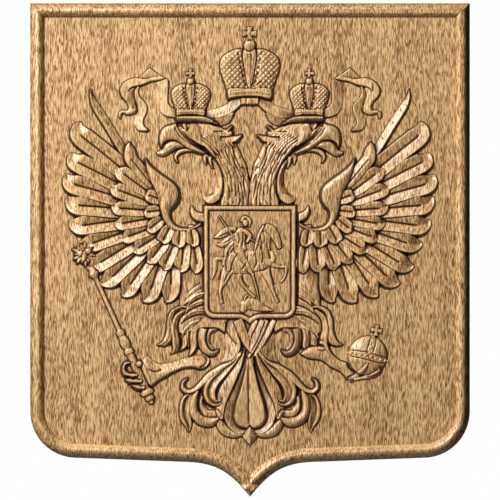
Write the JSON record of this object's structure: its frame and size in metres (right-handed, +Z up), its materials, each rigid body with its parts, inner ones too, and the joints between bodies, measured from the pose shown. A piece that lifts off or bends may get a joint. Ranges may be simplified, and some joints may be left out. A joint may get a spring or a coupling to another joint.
{
  "type": "carved coat of arms",
  "caption": "Wall-hung wooden shield with a half-round rim, carved in relief with a crowned double-headed eagle holding a sceptre and an orb.",
  "frame": {"origin": "middle of the flat back face, on the wall", "axes": "+Z up, +X to the viewer's right, the carved face looks along -Y and the back faces +Y"},
  "size_m": [0.44, 0.0304, 0.494],
  "materials": {
    "oak": "satin oil-waxed oak, darkened in the recesses"
  },
  "bodies": {
    "root": {"carved_shield": "oak"}
  },
  "joints": []
}
